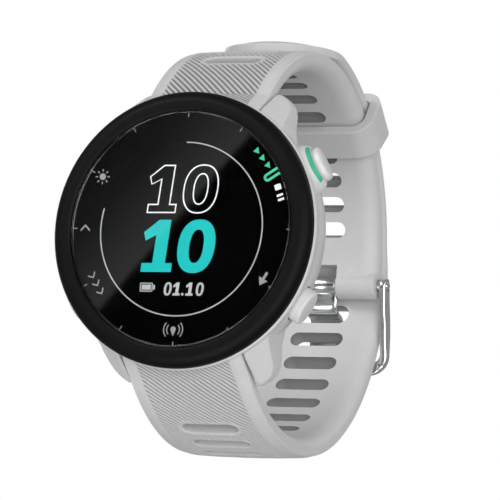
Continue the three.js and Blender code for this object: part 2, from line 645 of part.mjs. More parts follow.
// The tongue wraps the pin, passes out through the strap's slot and lies down on the end bar.
function buckleTongue() {
  const blade = [
    [0.4, 1.35], [2.4, 0.8], [3.3, 0.75], [4.1, 1.2], [4.6, 2.3], [5.1, 3.2], [5.9, 3.7], [7, 3.65],
    [8.5, 3.3], [11, 3], [14.3, 2.85], [14.2, 1.95], [11, 2.1], [8.5, 2.35], [7, 2.75], [6.2, 2.6],
    [5.6, 1.9], [5, 0.7], [4, -0.2], [2.4, -0.6], [0.6, -1.3],
  ].map(fromPin);
  const ringBody = rodX(TONGUE.ringR, -TONGUE.half, TONGUE.half, PIN.y, PIN.z, FINE);
  const bladeBody = acrossX(shapeOf(blade), -TONGUE.half, TONGUE.half);
  const pinHole = rodX(PIN.boreR, -12, 12, PIN.y, PIN.z, 16);
  return cut(join(ringBody, bladeBody), pinHole);
}

function addHardware() {
  add('spring_bar_top', springBar(1), 'steel');
  add('spring_bar_bottom', springBar(-1), 'steel');
  add('release_pin_top', releasePin(1), 'steel');
  add('release_pin_bottom', releasePin(-1), 'steel');
  add('buckle_frame', buckleFrame(), 'steel');
  add('buckle_pin', rodX(PIN.r, -PIN.end, PIN.end, PIN.y, PIN.z, 16), 'steel');
  add('buckle_tongue', buckleTongue(), 'steel');
}

addCase();
addInside();
addBack();
addButtons();
addStraps();
addHardware();

export default watch;
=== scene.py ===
import json
import math

import bmesh
import bpy
import numpy as np
from mathutils import Matrix, Vector

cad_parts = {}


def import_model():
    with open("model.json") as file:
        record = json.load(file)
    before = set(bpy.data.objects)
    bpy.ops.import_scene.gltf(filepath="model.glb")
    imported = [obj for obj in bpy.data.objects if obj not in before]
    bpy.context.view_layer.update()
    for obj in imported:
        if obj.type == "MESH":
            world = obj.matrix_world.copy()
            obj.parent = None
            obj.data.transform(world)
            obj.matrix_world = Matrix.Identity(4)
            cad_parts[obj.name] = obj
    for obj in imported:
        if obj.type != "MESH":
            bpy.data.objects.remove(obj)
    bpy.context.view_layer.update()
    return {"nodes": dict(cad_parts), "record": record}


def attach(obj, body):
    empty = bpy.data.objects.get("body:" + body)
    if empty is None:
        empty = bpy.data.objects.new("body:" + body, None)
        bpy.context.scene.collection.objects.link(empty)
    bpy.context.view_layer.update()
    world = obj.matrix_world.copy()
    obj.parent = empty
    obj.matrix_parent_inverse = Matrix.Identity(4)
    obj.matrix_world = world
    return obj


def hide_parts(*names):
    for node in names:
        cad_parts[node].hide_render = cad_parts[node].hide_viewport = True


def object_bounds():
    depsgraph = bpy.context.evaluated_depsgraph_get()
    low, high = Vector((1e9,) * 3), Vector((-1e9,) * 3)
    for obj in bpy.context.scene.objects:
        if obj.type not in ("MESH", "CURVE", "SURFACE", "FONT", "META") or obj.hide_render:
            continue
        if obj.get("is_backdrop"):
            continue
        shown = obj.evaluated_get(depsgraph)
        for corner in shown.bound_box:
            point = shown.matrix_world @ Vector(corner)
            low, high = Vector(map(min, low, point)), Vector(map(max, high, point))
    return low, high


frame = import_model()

MM = 0.001
CARD_GLOW, CARD_HALF = 0.42, 0.075
WORLD_LIGHT, WORLD_GLOSS = 0.3, 0.3
nodes = frame["nodes"]
scene = bpy.context.scene


# ---------------------------------------------------------------- camera, light and floor

def camera():
    azimuth, elevation, roll = math.radians(22.889), math.radians(-8.3155), math.radians(3.893)
    back = Vector((math.sin(azimuth) * math.cos(elevation), -math.cos(azimuth) * math.cos(elevation),
                   math.sin(elevation)))
    right = Vector((0, 0, 1)).cross(back).normalized()
    up = back.cross(right)
    c, s = math.cos(roll), math.sin(roll)
    right, up = c * right + s * up, c * up - s * right
    data = bpy.data.cameras.new("camera")
    data.lens, data.sensor_width = 284.3, 36
    data.clip_start, data.clip_end = 0.01, 20
    cam = bpy.data.objects.new("camera", data)
    scene.collection.objects.link(cam)
    turn = Matrix((right, up, back)).transposed().to_4x4()
    cam.matrix_world = Matrix.Translation((0.23476, -0.53990, -0.08707)) @ turn
    scene.camera = cam


def area_light(name, place, aim, size, power, colour=(1, 1, 1)):
    data = bpy.data.lights.new(name, "AREA")
    data.shape, data.size, data.energy, data.color = "DISK", size, power, colour
    light = bpy.data.objects.new(name, data)
    scene.collection.objects.link(light)
    light.location = place
    light.rotation_mode = "QUATERNION"
    light.rotation_quaternion = (Vector(aim) - Vector(place)).to_track_quat("-Z", "Y")


def world():
    made = bpy.data.worlds.new("studio")
    made.use_nodes = True
    tree = made.node_tree
    background = tree.nodes["Background"]
    path = tree.nodes.new("ShaderNodeLightPath")
    seen, gloss = tree.nodes.new("ShaderNodeMix"), tree.nodes.new("ShaderNodeMix")
    gloss.inputs[2].default_value, gloss.inputs[3].default_value = WORLD_LIGHT, WORLD_GLOSS
    seen.inputs[3].default_value = 1.0
    tree.links.new(path.outputs["Is Glossy Ray"], gloss.inputs[0])
    tree.links.new(gloss.outputs[0], seen.inputs[2])
    tree.links.new(path.outputs["Is Camera Ray"], seen.inputs[0])
    tree.links.new(seen.outputs[0], background.inputs["Strength"])
    background.inputs["Color"].default_value = (1, 1, 1, 1)
    scene.world = made
    scene.view_settings.view_transform = "Standard"


def reflected_card():
    """What the flat lens mirrors: a dark board, with a dim slanted sheet over its upper left."""
    made = bpy.data.materials.new("card")
    made.use_nodes = True
    tree = made.node_tree
    tree.nodes.remove(tree.nodes["Principled BSDF"])
    where, ramp = tree.nodes.new("ShaderNodeTexCoord"), tree.nodes.new("ShaderNodeValToRGB")
    split, glow = tree.nodes.new("ShaderNodeSeparateXYZ"), tree.nodes.new("ShaderNodeEmission")
    points = ramp.color_ramp.elements
    points[0].position, points[0].color = 0.3, (0.02, 0.02, 0.02, 1)
    points[1].position, points[1].color = 0.5, (CARD_GLOW, CARD_GLOW, CARD_GLOW, 1)
    middle = points.new(0.4)
    middle.color = (CARD_GLOW * 0.3,) * 3 + (1,)
    for place, level in ((0.502, 0.002), (1.0, 0.002)):
        points.new(place).color = (level, level, level, 1)
    tree.links.new(where.outputs["UV"], split.inputs["Vector"])
    tree.links.new(split.outputs["X"], ramp.inputs["Fac"])
    tree.links.new(ramp.outputs["Color"], glow.inputs["Color"])
    tree.links.new(glow.outputs["Emission"], tree.nodes["Material Output"].inputs["Surface"])
    a, b = Vector((-0.1474, -0.3, 0.0286)), Vector((-0.1127, -0.3, 0.0696))
    along = (b - a).normalized()
    across = Vector((along.z, 0, -along.x))
    middle = (a + b) / 2
    corners = [middle + u * CARD_HALF * across + v * CARD_HALF * along
               for u, v in ((-1, -1), (1, -1), (1, 1), (-1, 1))]
    mesh = bpy.data.meshes.new("card")
    mesh.from_pydata([tuple(c) for c in corners], [], [(0, 1, 2, 3)])
    uv = mesh.uv_layers.new(name="UVMap")
    for loop, value in zip(uv.data, ((0, 0), (1, 0), (1, 1), (0, 1))):
        loop.uv = value
    mesh.materials.append(made)
    card = bpy.data.objects.new("card", mesh)
    scene.collection.objects.link(card)
    card.visible_camera = card.visible_diffuse = card.visible_shadow = False
    card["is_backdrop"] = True


# ---------------------------------------------------------------- mesh helpers

def linked(name, mesh):
    piece = bpy.data.objects.new(name, mesh)
    scene.collection.objects.link(piece)
    return piece


def mesh_piece(name, points, faces):
    """points are in millimetres in the row frame."""
    mesh = bpy.data.meshes.new(name)
    mesh.from_pydata((np.asarray(points, float) * MM).tolist(), [], [list(map(int, f)) for f in faces])
    mesh.validate()
    mesh.update()
    return linked(name, mesh)


def outward(piece):
    bm = bmesh.new()
    bm.from_mesh(piece.data)
    bmesh.ops.recalc_face_normals(bm, faces=bm.faces)
    bm.to_mesh(piece.data)
    bm.free()
    return piece


def grid_faces(rows, columns, close_rows=False, close_columns=False):
    """Quads between rows and columns of points stored row by row."""
    r = np.arange(rows if close_rows else rows - 1)
    c = np.arange(columns if close_columns else columns - 1)
    r, c = (a.ravel() for a in np.meshgrid(r, c, indexing="ij"))
    r1, c1 = (r + 1) % rows, (c + 1) % columns
    return np.stack([r * columns + c, r * columns + c1, r1 * columns + c1, r1 * columns + c], 1)


def tube(name, sections, closed=False):
    """sections is (rows, columns, 3): closed section loops, joined in turn, with flat ends unless closed."""
    rows, columns, _ = sections.shape
    faces = grid_faces(rows, columns, closed, True).tolist()
    if not closed:
        faces.append(list(range(columns)))
        faces.append(list(range((rows - 1) * columns, rows * columns)))
    return outward(mesh_piece(name, sections.reshape(-1, 3), faces))


def lathe(name, profile, segments=240):
    """A closed profile of (radius, y) turned about the Y axis. Points with no radius share one apex."""
    angles = np.arange(segments) * 2 * math.pi / segments
    points, rings, faces = [], [], []
    for r, y in profile:
        if r < 1e-6:
            rings.append([len(points)] * segments)
            points.append((0, y, 0))
        else:
            rings.append(list(range(len(points), len(points) + segments)))
            points.extend(zip(r * np.cos(angles), np.full(segments, y), r * np.sin(angles)))
    for k, ring in enumerate(rings):
        after = rings[(k + 1) % len(rings)]
        for i in range(segments):
            j = (i + 1) % segments
            corners = list(dict.fromkeys([ring[i], ring[j], after[j], after[i]]))
            if len(corners) > 2:
                faces.append(corners)
    return outward(mesh_piece(name, points, faces))


def rounded(profile, radius=0.15, steps=4, closed=True):
    """The profile with each corner replaced by a short curve."""
    made, count = [], len(profile)
    for k, corner in enumerate(profile):
        r = radius[k] if isinstance(radius, (list, tuple)) else radius
        before, after = profile[k - 1], profile[(k + 1) % count]
        if r <= 0 or (not closed and k in (0, count - 1)):
            made.append(tuple(corner))
            continue
        p, a, b = (np.array(v, float) for v in (corner, before, after))
        la, lb = np.linalg.norm(a - p), np.linalg.norm(b - p)
        cut = min(r, 0.45 * la, 0.45 * lb)
        start, end = p + (a - p) * cut / la, p + (b - p) * cut / lb
        if cut < 0.3 * la:
            made.append(tuple(p + (a - p) * 1.4 * cut / la))
        for t in np.linspace(0, 1, steps + 1):
            made.append(tuple((1 - t) ** 2 * start + 2 * t * (1 - t) * p + t * t * end))
        if cut < 0.3 * lb:
            made.append(tuple(p + (b - p) * 1.4 * cut / lb))
    return made


def smooth_line(points, per=6, closed=False):
    """A curve through the points."""
    p = np.asarray(points, float)
    count = len(p)
    made = []
    for k in range(count if closed else count - 1):
        take = [(k - 1) % count, k, (k + 1) % count, (k + 2) % count] if closed else [
            max(k - 1, 0), k, k + 1, min(k + 2, count - 1)]
        a, b, c, d = (p[i] for i in take)
        for t in np.arange(per) / per:
            made.append(0.5 * (2 * b + (c - a) * t + (2 * a - 5 * b + 4 * c - d) * t * t
                               + (3 * b - a - 3 * c + d) * t ** 3))
    if not closed:
        made.append(p[-1])
    return np.array(made)


def plate(name, outlines, depth, bevel, place, steps=3):
    """Flat outlines given a thickness and rounded rims. place maps (a, b, height) to the row frame, in mm."""
    curve = bpy.data.curves.new(name, "CURVE")
    curve.dimensions, curve.fill_mode = "2D", "BOTH"
    curve.extrude, curve.bevel_depth, curve.bevel_resolution = depth / 2 - bevel, bevel, steps
    curve.offset = -bevel
    for outline in outlines:
        spline = curve.splines.new("POLY")
        spline.points.add(len(outline) - 1)
        spline.points.foreach_set("co", np.array([(a, b, 0, 1) for a, b in outline], float).ravel())
        spline.use_cyclic_u = True
    holder = bpy.data.objects.new(name, curve)
    scene.collection.objects.link(holder)
    bpy.context.view_layer.update()
    mesh = bpy.data.meshes.new_from_object(holder.evaluated_get(bpy.context.evaluated_depsgraph_get()))
    bpy.data.objects.remove(holder)
    bpy.data.curves.remove(curve)
    mesh.name = name
    bm = bmesh.new()
    bm.from_mesh(mesh)
    bmesh.ops.remove_doubles(bm, verts=bm.verts, dist=1e-4)
    bm.to_mesh(mesh)
    bm.free()
    mesh.materials.clear()
    mesh.transform(Matrix.Scale(MM, 4) @ place @ Matrix.Translation((0, 0, depth / 2)))
    return outward(linked(name, mesh))


def basis(a, b, c, origin):
    """A matrix whose axes are a, b and c, at origin, all in millimetres."""
    turn = Matrix((Vector(a), Vector(b), Vector(c))).transposed().to_4x4()
    return Matrix.Translation(origin) @ turn


def applied(piece):
    """Replaces the mesh with what its modifiers make of it."""
    mesh = bpy.data.meshes.new_from_object(piece.evaluated_get(bpy.context.evaluated_depsgraph_get()))
    piece.modifiers.clear()
    old = piece.data
    piece.data = mesh
    mesh.name = piece.name
    bpy.data.meshes.remove(old)
    return piece


def boolean(piece, tools, operation="DIFFERENCE"):
    for tool in tools:
        change = piece.modifiers.new("cut", "BOOLEAN")
        change.operation, change.solver, change.object = operation, "MANIFOLD", tool
    applied(piece)
    for tool in tools:
        bpy.data.objects.remove(tool)
    return piece


def modified(piece, kind, **settings):
    change = piece.modifiers.new(kind, kind)
    for key, value in settings.items():
        setattr(change, key, value)
    return applied(piece)


def shade(piece, degrees=35):
    piece.data.shade_smooth()
    piece.data.set_sharp_from_angle(angle=math.radians(degrees))
    return piece


def dress(piece, material, body="watch", node=None, degrees=35):
    piece.data.materials.clear()
    piece.data.materials.append(material)
    if piece.type == "MESH":
        shade(piece, degrees)
    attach(piece, body)
    if node:
        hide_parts(*([node] if isinstance(node, str) else node))
    return piece


# ---------------------------------------------------------------- materials

def surface(name, colour, roughness, metallic=0.0, vary=0.03, patch=120.0, grain=2500.0, bump=0.15,
            depth=0.00002, rough_vary=0.06, edge=0.0, **sockets):
    """A surface with slow colour variation, fine grain in its bump and gloss, and lighter convex edges."""
    made = bpy.data.materials.new(name)
    made.use_nodes = True
    tree = made.node_tree
    new, link = tree.nodes.new, tree.links.new
    shader = tree.nodes["Principled BSDF"]
    shader.inputs["Metallic"].default_value = metallic
    for key, value in sockets.items():
        shader.inputs[key.replace("_", " ")].default_value = value
    where = new("ShaderNodeTexCoord")
    broad, fine = new("ShaderNodeTexNoise"), new("ShaderNodeTexNoise")
    broad.inputs["Scale"].default_value, broad.inputs["Detail"].default_value = patch, 4.0
    fine.inputs["Scale"].default_value, fine.inputs["Detail"].default_value = grain, 3.0
    for noise in (broad, fine):
        link(where.outputs["Object"], noise.inputs["Vector"])
    ramp = new("ShaderNodeValToRGB")
    ramp.color_ramp.elements[0].position, ramp.color_ramp.elements[1].position = 0.3, 0.7
    low = [max(0.0, c * (1 - vary)) for c in colour]
    high = [min(1.0, c * (1 + vary)) for c in colour]
    ramp.color_ramp.elements[0].color = (*low, 1)
    ramp.color_ramp.elements[1].color = (*high, 1)
    link(broad.outputs["Fac"], ramp.inputs["Fac"])
    tone = ramp.outputs["Color"]
    if edge:
        # convex edges, found by pointiness, are mixed towards a lighter colour
        geometry, edge_lighten, mix = new("ShaderNodeNewGeometry"), new("ShaderNodeMapRange"), new("ShaderNodeMix")
        edge_lighten.inputs["From Min"].default_value, edge_lighten.inputs["From Max"].default_value = 0.52, 0.6
        edge_lighten.inputs["To Max"].default_value = edge
        link(geometry.outputs["Pointiness"], edge_lighten.inputs["Value"])
        mix.data_type = "RGBA"
        link(edge_lighten.outputs["Result"], mix.inputs[0])
        link(tone, mix.inputs[6])
        mix.inputs[7].default_value = (*[min(1.0, c * 1.6 + 0.05) for c in colour], 1)
        tone = mix.outputs[2]
    link(tone, shader.inputs["Base Color"])
    gloss = new("ShaderNodeMapRange")
    gloss.inputs["To Min"].default_value = max(0.02, roughness - rough_vary)
    gloss.inputs["To Max"].default_value = min(1.0, roughness + rough_vary)
    link(fine.outputs["Fac"], gloss.inputs["Value"])
    link(gloss.outputs["Result"], shader.inputs["Roughness"])
    relief = new("ShaderNodeBump")
    relief.inputs["Strength"].default_value, relief.inputs["Distance"].default_value = bump, depth
    link(fine.outputs["Fac"], relief.inputs["Height"])
    link(relief.outputs["Normal"], shader.inputs["Normal"])
    return made


def brushed(name, colour, roughness, stretch=(1, 1, 1), **sockets):
    made = surface(name, colour, roughness, metallic=1.0, vary=0.05, patch=300, grain=1200, bump=0.08,
                   depth=0.00001, rough_vary=0.05, **sockets)
    tree = made.node_tree
    where = next(n for n in tree.nodes if n.type == "TEX_COORD")
    scale = tree.nodes.new("ShaderNodeMapping")
    scale.inputs["Scale"].default_value = stretch
    for link in list(where.outputs["Object"].links):
        tree.links.new(scale.outputs["Vector"], link.to_socket)
    tree.links.new(where.outputs["Object"], scale.inputs["Vector"])
    return made


# Glows by itself: the display's figures, and the print on the ring round the display, whose glow is painted
# light.
def lit(name, colour, strength):
    made = surface(name, colour, 0.5, bump=0.02)
    shader = made.node_tree.nodes["Principled BSDF"]
    shader.inputs["Emission Color"].default_value = (*colour, 1)
    shader.inputs["Emission Strength"].default_value = strength
    return made


def clear_glass(name):
    return surface(name, (0.96, 0.97, 0.975), 0.02, vary=0.005, bump=0.0, rough_vary=0.005, IOR=1.45,
                   Transmission_Weight=1.0)


silicone = surface("silicone", (0.61, 0.61, 0.61), 0.5, vary=0.025, patch=160, grain=5200, bump=0.22,
                   depth=0.000012, rough_vary=0.08, Sheen_Weight=0.08, Specular_IOR_Level=0.4,
                   Subsurface_Weight=0.06, Subsurface_Scale=0.002)
shell = surface("shell", (0.625, 0.625, 0.625), 0.42, vary=0.02, patch=140, grain=4200, bump=0.18,
                depth=0.00001, rough_vary=0.06, Subsurface_Weight=0.04, Subsurface_Scale=0.002)
button_paint = surface("button_paint", (0.64, 0.64, 0.64), 0.34, vary=0.02, patch=200, grain=4200, bump=0.1,
                       depth=0.000008)
bezel_black = surface("bezel_black", (0.0035, 0.0035, 0.0036), 0.46, vary=0.12, patch=220, grain=5200,
                      bump=0.12, depth=0.000008, rough_vary=0.07, edge=0.02, Specular_IOR_Level=0.09)
# The ribbed straps' silicone, with painted shade in its grooves and down its slots.
ribbed_silicone_painted_shade = silicone.copy()
ribbed_silicone_painted_shade.name = "ribbed_silicone_painted_shade"
glass = clear_glass("glass")
dial_black = surface("dial_black", (0.0006, 0.0006, 0.0006), 0.5, vary=0.1, grain=6000, bump=0.05,
                     Specular_IOR_Level=0.03)
display_black = surface("display_black", (0.0006, 0.0006, 0.0006), 0.5, vary=0.1, grain=8000, bump=0.03,
                        Specular_IOR_Level=0.03)
seal_rubber = surface("seal_rubber", (0.012, 0.012, 0.012), 0.6, vary=0.15, grain=3000, bump=0.3)
steel = brushed("steel", (0.72, 0.73, 0.74), 0.16, stretch=(0.15, 1, 1))
dark_plastic = surface("dark_plastic", (0.03, 0.031, 0.034), 0.45, vary=0.12, grain=3000, bump=0.25)
board_green = surface("board_green", (0.015, 0.11, 0.05), 0.35, vary=0.25, patch=900, grain=4000, bump=0.2)
foil = surface("foil", (0.55, 0.56, 0.57), 0.35, metallic=0.8, vary=0.08, patch=260, grain=900, bump=0.4)
gold = brushed("gold", (0.83, 0.58, 0.2), 0.22)
window_dark = surface("window_dark", (0.008, 0.008, 0.010), 0.08, vary=0.1, grain=3000, bump=0.02,
                      rough_vary=0.02, Coat_Weight=0.5)
green_inlay = surface("green_inlay", (0.035, 0.42, 0.24), 0.4, vary=0.05, grain=4000, bump=0.15)
white_light = lit("white_light", (0.83, 0.84, 0.85), 0.62)
grey_light = lit("grey_light", (0.55, 0.56, 0.57), 0.35)
teal_light = lit("teal_light", (0.0, 0.42, 0.40), 0.75)
mint_light = lit("mint_light", (0.05, 0.50, 0.30), 0.6)
# print on the ring round the display, given a faint glow: painted light
glowing_mark_print = lit("glowing_mark_print", (0.45, 0.45, 0.46), 0.15)


def paint_shade_by(made, attribute, share):
    """Paints shade into the base colour where the mesh attribute is high: in the grooves and down the slots.
    """
    tree = made.node_tree
    shader = tree.nodes["Principled BSDF"]
    tone = shader.inputs["Base Color"].links[0].from_socket
    level, scale = tree.nodes.new("ShaderNodeAttribute"), tree.nodes.new("ShaderNodeMath")
    mix = tree.nodes.new("ShaderNodeMix")
    level.attribute_name = attribute
    scale.operation, scale.inputs[1].default_value = "MULTIPLY", share
    mix.data_type = "RGBA"
    # the colour of the painted shade
    mix.inputs[7].default_value = (0.11, 0.11, 0.11, 1)
    tree.links.new(level.outputs["Fac"], scale.inputs[0])
    tree.links.new(scale.outputs[0], mix.inputs[0])
    tree.links.new(tone, mix.inputs[6])
    tree.links.new(mix.outputs[2], shader.inputs["Base Color"])


# painted shade in the strap's grooves and down its slots
paint_shade_by(ribbed_silicone_painted_shade, "groove", 0.92)

by_slot = {
    "shell": shell, "silicone": silicone, "bezel": bezel_black, "glass": glass, "dial": dial_black,
    "display": display_black, "seal": seal_rubber, "steel": steel, "dark_plastic": dark_plastic,
    "board": board_green, "foil": foil, "gold": gold, "window": window_dark, "accent": green_inlay,
}


def dress_frame():
    for part in frame["record"]["subparts"]:
        node = nodes[part["node"]]
        node.data.materials.clear()
        node.data.materials.append(by_slot[part["material_slot"]])
        shade(node, 32)


# ---------------------------------------------------------------- the strap loop

CY, CZ = 18.84, 2.99  # the loop's centre


def loop_point(x, r, degrees):
    a = np.radians(degrees)
    x, r, a = np.broadcast_arrays(x, r, a)
    return np.stack([x, CY + r * np.cos(a), CZ + r * np.sin(a)], -1)


def smoothstep(low, high, value):
    t = np.clip((np.asarray(value, float) - low) / (high - low), 0, 1)
    return t * t * (3 - 2 * t)


def stadium_distance(x, s, half_length, half_height):
    """Distance outside a slot of rounded ends centred on zero."""
    dx = np.maximum(np.abs(x) - (half_length - half_height), 0)
    return np.hypot(dx, s) - half_height


# Ribs per mm across and along the strap, how deep they are, and where they stop short of its edges.
RIB = {"across": -1.045, "along": 0.985, "depth": 0.3, "margin": 7.55}
SLOT_HALF = (4.5, 1.25)


def rib_relief(x, s, slots, share):
    """Fine diagonal grooves, stopped short of the margins and of each slot's rim. Depths are in mm, and
    share is how much of their depth the grooves keep."""
    phase = RIB["across"] * x + RIB["along"] * s
    groove = (0.5 + 0.5 * np.cos(2 * math.pi * phase)) ** 2
    mask = 1 - smoothstep(RIB["margin"] - 0.15, RIB["margin"] + 0.15, np.abs(x))
    dip = np.zeros_like(x)
    for centre, half_length, half_height in slots:
        near = np.abs(s - centre) < 4
        d = stadium_distance(x[near], s[near] - centre, half_length, half_height)
        mask[near] *= smoothstep(0.65, 0.95, d)
        dip[near] += 0.22 * (1 - smoothstep(-0.05, 0.4, d))
    return -RIB["depth"] * groove * mask * share - dip


# The rolled inner edge of a strap's section: (x, share of the thickness).
UNDER = [(7.2 + 2.6 * math.cos(t), 0.6 * (1 - math.sin(t))) for t in np.linspace(0, math.pi / 2, 9)] + [
    (6.6, 0), (4, 0), (1.3, 0)]


def band(name, outer, inner, low, high, slots, crown, fine, end=None, ribbed=lambda a: 1.0):
    """A strap of crowned section from angle low to angle high, its rows slanted with its ribs.
    outer and inner give the radius at an angle, slots are (angle, half length, half height)."""
    mean = 30.0
    slant = -RIB["across"] / RIB["along"]
    rise = np.arange(low * math.pi / 180 * mean, high * math.pi / 180 * mean, 1 / RIB["along"] / fine)
    side = np.linspace(-1, 1, 6 * fine + 29)
    across = 9.62 * np.sign(side) * np.abs(side) ** 0.92
    lower = [(9.8, None)] + UNDER + [(-x, lift) for x, lift in UNDER[::-1]] + [(-9.8, None)]
    x = np.concatenate([across, [x for x, _ in lower]])
    x = np.broadcast_to(x, (len(rise), len(x)))
    s = rise[:, None] + slant * x
    a = np.degrees(s / mean)
    edge, base = outer(a), inner(a)
    t = np.abs(x)
    height = crown(a) * (0.55 * smoothstep(9.75, 8.3, t) + 0.45 * np.clip(1 - (t / 8.6) ** 2, 0, 1))
    true_s = edge * np.radians(a)
    places = [(outer(np.array(c)) * math.radians(c), hl, hh) for c, hl, hh in slots]
    relief = rib_relief(x, true_s, places, ribbed(a))
    if end is not None:
        relief = relief + end(x, a)
    r = edge + height + relief
    n = len(across)
    for k, (_, lift) in enumerate(lower):
        top, foot = edge[:, n + k], base[:, n + k]
        r[:, n + k] = top - 0.22 if lift is None else foot + lift * (top - foot)
    return tube(name, loop_point(x, r, a))


def mark_painted_shade(piece, outer, slots, ribbed):
    """Stores painted shade for each corner as the attribute "groove": how far it lies down a groove or, on
    upright faces, down a slot's wall.
    """
    mesh = piece.data
    points = np.empty(3 * len(mesh.vertices))
    mesh.vertices.foreach_get("co", points)
    x, y, z = (points.reshape(-1, 3) / MM).T
    a, r = np.degrees(np.arctan2(z - CZ, y - CY)), np.hypot(y - CY, z - CZ)
    edge = outer(a)
    s = edge * np.radians(a)
    # painted shade, deepest at the bottom of each groove
    groove = (0.5 + 0.5 * np.cos(2 * math.pi * (RIB["across"] * x + RIB["along"] * s))) ** 2
    groove *= (np.abs(x) < RIB["margin"]) * (r > edge - 0.5) * ribbed(a)
    # painted shade down each slot's wall, darker further below the surface
    wall = np.zeros_like(x)
    for angle, half_length, half_height in slots:
        d = stadium_distance(x, s - edge * math.radians(angle), half_length, half_height)
        groove *= d > 0.75
        wall = np.maximum(wall, (d < 0.35) * 0.8 * smoothstep(-0.7, 1.2, edge - r))
    turn = np.empty(3 * len(mesh.polygons))
    mesh.polygons.foreach_get("normal", turn)
    middle = np.empty(3 * len(mesh.polygons))
    mesh.polygons.foreach_get("center", middle)
    middle = middle.reshape(-1, 3) / MM - (0, CY, CZ)
    middle[:, 0] = 0
    radial = np.abs(np.sum(turn.reshape(-1, 3) * middle, 1)) / np.linalg.norm(middle, axis=1)
    totals = np.empty(len(mesh.polygons), int)
    mesh.polygons.foreach_get("loop_total", totals)
    corner = np.empty(len(mesh.loops), int)
    mesh.loops.foreach_get("vertex_index", corner)
    upright = np.repeat(radial < 0.45, totals)
    level = np.where(upright, wall[corner], groove[corner])
    mesh.attributes.new("groove", "FLOAT", "CORNER").data.foreach_set("value", level)


def even_normals(piece):
    """Lets broad faces set the shading of the thin ones beside them."""
    return modified(piece, "WEIGHTED_NORMAL", mode="FACE_AREA", weight=50, keep_sharp=True)


def prism(name, points):
    """A solid between two equal loops of points, the first loop and then the second."""
    n = len(points) // 2
    faces = [list(range(n)), list(range(n, 2 * n))]
    faces += [[k, (k + 1) % n, n + (k + 1) % n, n + k] for k in range(n)]
    return outward(mesh_piece(name, points, faces))


def side_prism(name, outline, half):
    """A closed (y, z) outline, extruded across X."""
    return prism(name, [(x, y, z) for x in (-half, half) for y, z in outline])


def loop_arc(r, low, high, steps=60):
    return [tuple(p[1:]) for p in loop_point(0, r, np.linspace(low, high, steps))]


def stadium_outline(half_length, half_height, steps=36):
    turn = np.linspace(-math.pi / 2, math.pi / 2, steps)
    flat = half_length - half_height
    right = [(flat + half_height * math.cos(t), half_height * math.sin(t)) for t in turn]
    return right + [(-a, -b) for a, b in right]


def slot_tool(degrees, half_length, half_height, low=20, high=40):
    outline = stadium_outline(half_length, half_height)
    a = math.radians(degrees)
    points = []
    for r in (low, high):
        for u, v in outline:
            points.append((u, CY + r * math.cos(a) - v * math.sin(a), CZ + r * math.sin(a) + v * math.cos(a)))
    return prism("slot_tool", points)


def box_tool(x0, x1, y0, y1, z0, z1):
    points = [(x, y, z) for x in (x0, x1) for y in (y0, y1) for z in (z0, z1)]
    faces = [(0, 1, 3, 2), (4, 5, 7, 6), (0, 1, 5, 4), (2, 3, 7, 6), (0, 2, 6, 4), (1, 3, 7, 5)]
    return outward(mesh_piece("box_tool", points, faces))


def rod_x(name, r, x0, x1, y, z, edge=0.0, segments=64):
    turn = np.arange(segments) * 2 * math.pi / segments
    stations = [(x0, r - edge), (x0 + edge * 0.3, r - edge * 0.3), (x0 + edge, r), (x1 - edge, r),
                (x1 - edge * 0.3, r - edge * 0.3), (x1, r - edge)] if edge else [(x0, r), (x1, r)]
    rings = [np.stack([np.full(segments, x), y + q * np.cos(turn), z + q * np.sin(turn)], 1)
             for x, q in stations]
    return tube(name, np.array(rings))


FINE = 8
PIN_Y, PIN_Z = 46.75, 0.3  # the buckle's pin
BAR_Y, BAR_Z = -2.45, 19.6  # the spring bars, one at each side of the case
TONGUE_ANGLE = -13.9
TIP_ANGLE, TIP_LENGTH = 75.4, 12.0
REAR_SLOTS = [13.25 + 9.05 * k for k in range(5)]
TOP_SLOTS = [58.3 + 10.2 * k for k in range(7)]
LONG_SLOTS = [a for a in (-113.45 + 9.05 * k for k in range(22)) if abs(a - TONGUE_ANGLE) > 2]


def long_outer(a):
    base = 31.25 + 1.2 * smoothstep(9, -5, a) + 0.95 * smoothstep(-4, -125, a)
    return base + 0.07 * np.clip(-133 - np.asarray(a, float), 0, 20)


def long_inner(a):
    return long_outer(a) - 1.85 - 1.05 * smoothstep(-6, -24, a)


def long_ribs(a):
    return 1 - smoothstep(76, 80, a)


def short_outer(a):
    return 29.1 + 0.16 * np.clip(np.asarray(a, float) - 140.5, 0, 20)


def bar_room(side):
    z = side * BAR_Z
    return [rod_x("bore", 0.95, -10.4, 10.4, BAR_Y, z, segments=32),
            box_tool(2.6, 5.9, BAR_Y, 1.5, z - 0.75, z + 0.75)]


def short_strap():
    slots = [(a, *SLOT_HALF) for a in REAR_SLOTS + TOP_SLOTS]
    piece = band("short_strap_skin", short_outer, lambda a: np.full_like(a, 26.1), -32, 178, slots,
                 lambda a: 0.28 + 0.22 * smoothstep(98, 112, a), FINE)
    ends = loop_arc(24.5, -4, 138)
    ends += [(-0.55, 20.4), (-0.6, 18.6), (-1.4, 17.95), (-7.95, 17.95), (-9.0, 19.2)]
    ends += loop_arc(31.5, 143, -4)
    piece = boolean(piece, [side_prism("ends", ends, 12)], "INTERSECT")
    piece = boolean(piece, [rod_x("knuckle", 2.2, -9.8, 9.8, PIN_Y, PIN_Z, 0.25)], "UNION")
    tools = [box_tool(-3.2, 3.2, 43, 52, -3, 3.4),
             rod_x("pin_bore", 0.95, -12, 12, PIN_Y, PIN_Z, segments=32)]
    tools += bar_room(1) + [slot_tool(a, *SLOT_HALF) for a in REAR_SLOTS + TOP_SLOTS]
    piece = boolean(piece, tools)
    mark_painted_shade(piece, short_outer, slots, lambda a: 1.0)
    even_normals(dress(piece, ribbed_silicone_painted_shade, node="short_strap", degrees=38))


